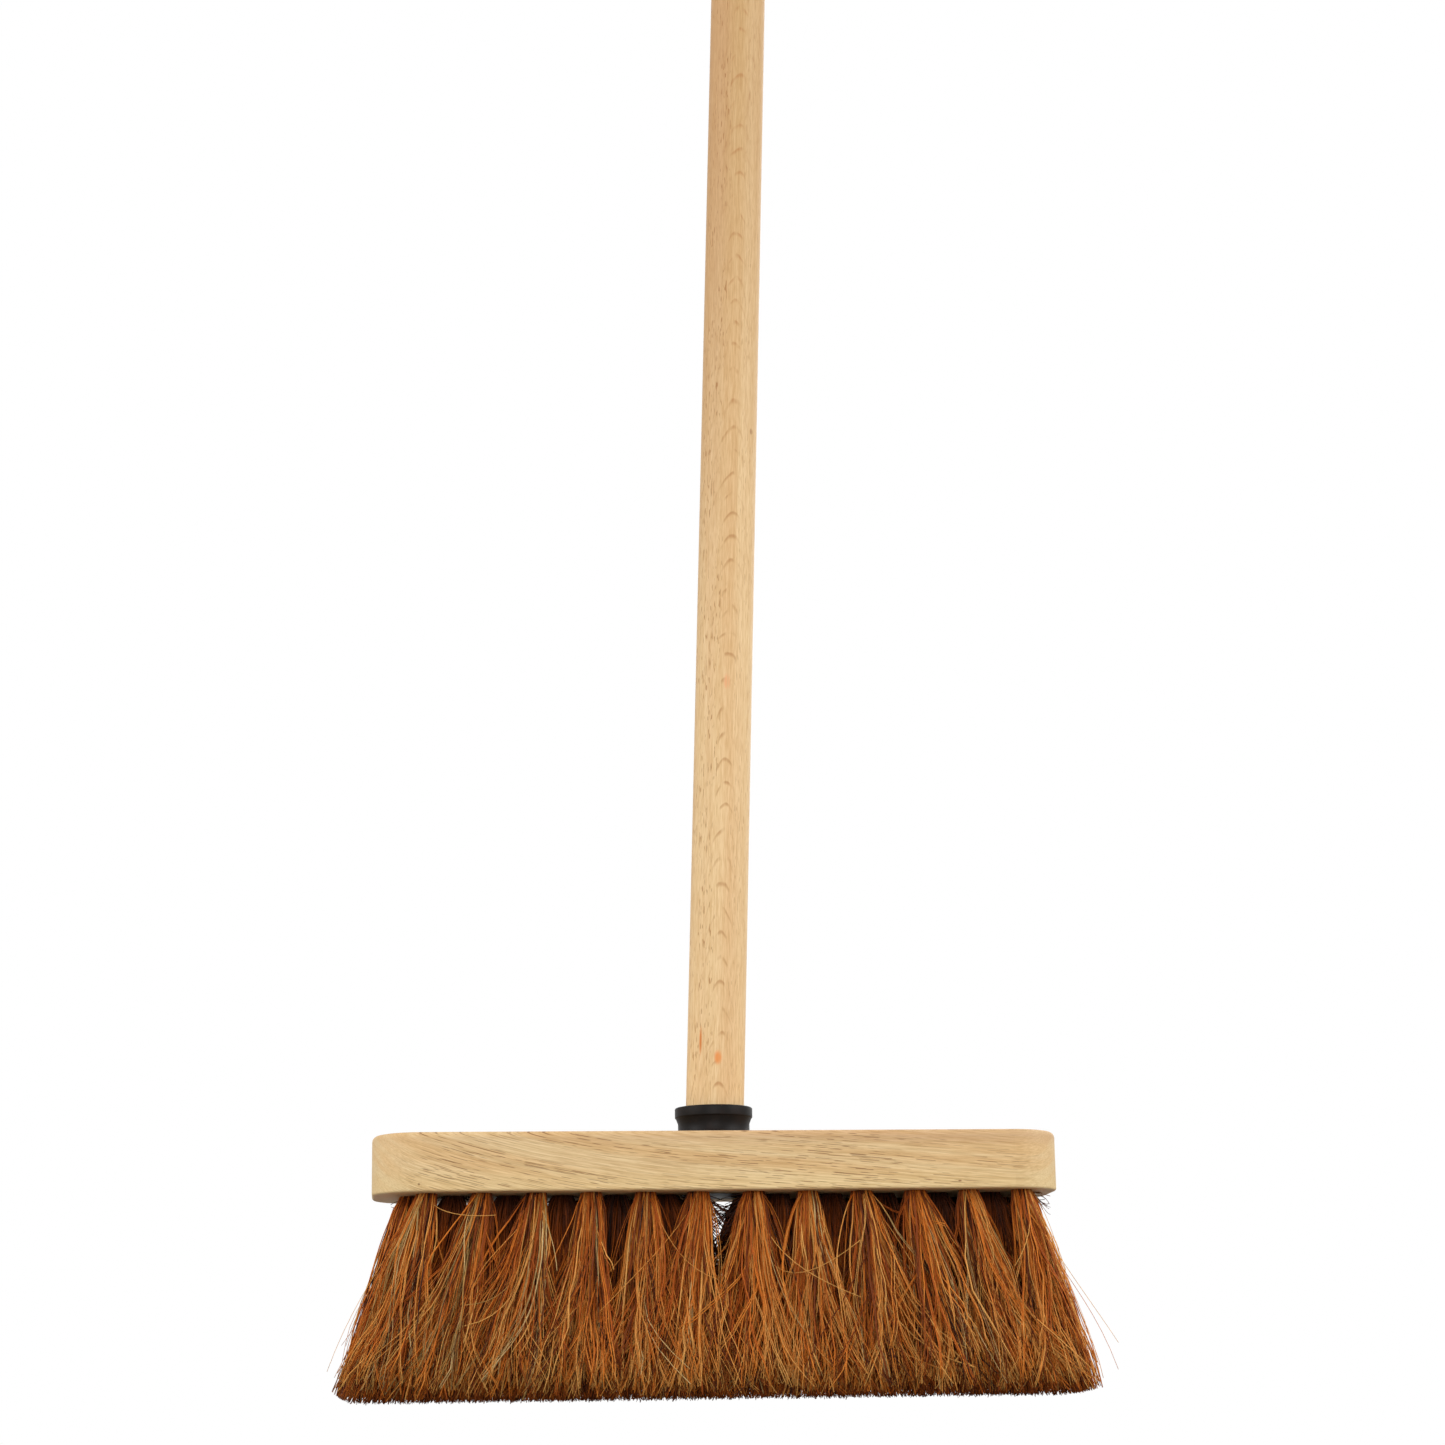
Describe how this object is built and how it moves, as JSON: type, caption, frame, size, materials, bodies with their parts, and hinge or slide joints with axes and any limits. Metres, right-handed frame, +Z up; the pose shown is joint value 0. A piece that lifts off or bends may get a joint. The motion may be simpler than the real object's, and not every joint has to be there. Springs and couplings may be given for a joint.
{
  "type": "push broom",
  "caption": "Push broom: a round-cornered wooden head set with staple-held coir tufts, and a round wooden handle that pushes into a flanged black plastic socket.",
  "frame": {"origin": "on the floor under the middle of the head, at the level of the bristle tips", "axes": "+Z up, +X along the head towards the side that the handle leans to, -Y towards the viewer of the picture"},
  "size_m": [0.3075, 0.0722, 1.284],
  "materials": {
    "handle_wood": "sanded beech, thinly waxed",
    "stock_wood": "planed rubberwood, unpainted",
    "socket_plastic": "satin black moulding",
    "coir": "natural coconut fibre",
    "staple_wire": "drawn wire"
  },
  "bodies": {
    "head": {"stock": "stock_wood", "socket": "socket_plastic", "front_bristles": "coir", "left_inner_bristles": "coir", "right_inner_bristles": "coir", "back_bristles": "coir", "front_row_staple_1": "staple_wire", "front_row_staple_2": "staple_wire", "front_row_staple_3": "staple_wire", "front_row_staple_4": "staple_wire", "front_row_staple_5": "staple_wire", "front_row_staple_6": "staple_wire", "front_row_staple_7": "staple_wire", "front_row_staple_8": "staple_wire", "front_row_staple_9": "staple_wire", "front_row_staple_10": "staple_wire", "front_row_staple_11": "staple_wire", "front_row_staple_12": "staple_wire", "front_inner_row_staple_1": "staple_wire", "front_inner_row_staple_2": "staple_wire", "front_inner_row_staple_3": "staple_wire", "front_inner_row_staple_4": "staple_wire", "front_inner_row_staple_5": "staple_wire", "front_inner_row_staple_6": "staple_wire", "front_inner_row_staple_7": "staple_wire", "front_inner_row_staple_8": "staple_wire", "front_inner_row_staple_9": "staple_wire", "front_inner_row_staple_10": "staple_wire", "front_inner_row_staple_11": "staple_wire", "front_inner_row_staple_12": "staple_wire", "back_inner_row_staple_1": "staple_wire", "back_inner_row_staple_2": "staple_wire", "back_inner_row_staple_3": "staple_wire", "back_inner_row_staple_4": "staple_wire", "back_inner_row_staple_5": "staple_wire", "back_inner_row_staple_6": "staple_wire", "back_inner_row_staple_7": "staple_wire", "back_inner_row_staple_8": "staple_wire", "back_inner_row_staple_9": "staple_wire", "back_inner_row_staple_10": "staple_wire", "back_inner_row_staple_11": "staple_wire", "back_inner_row_staple_12": "staple_wire", "back_row_staple_1": "staple_wire", "back_row_staple_2": "staple_wire", "back_row_staple_3": "staple_wire", "back_row_staple_4": "staple_wire", "back_row_staple_5": "staple_wire", "back_row_staple_6": "staple_wire", "back_row_staple_7": "staple_wire", "back_row_staple_8": "staple_wire", "back_row_staple_9": "staple_wire", "back_row_staple_10": "staple_wire", "back_row_staple_11": "staple_wire", "back_row_staple_12": "staple_wire"},
    "handle": {"handle": "handle_wood"}
  },
  "joints": [
    {"name": "handle_pull", "type": "slide", "parent": "head", "child": "handle", "axis": [0.0359, 0, 0.9994], "range_m": [0, 0.05]}
  ]
}
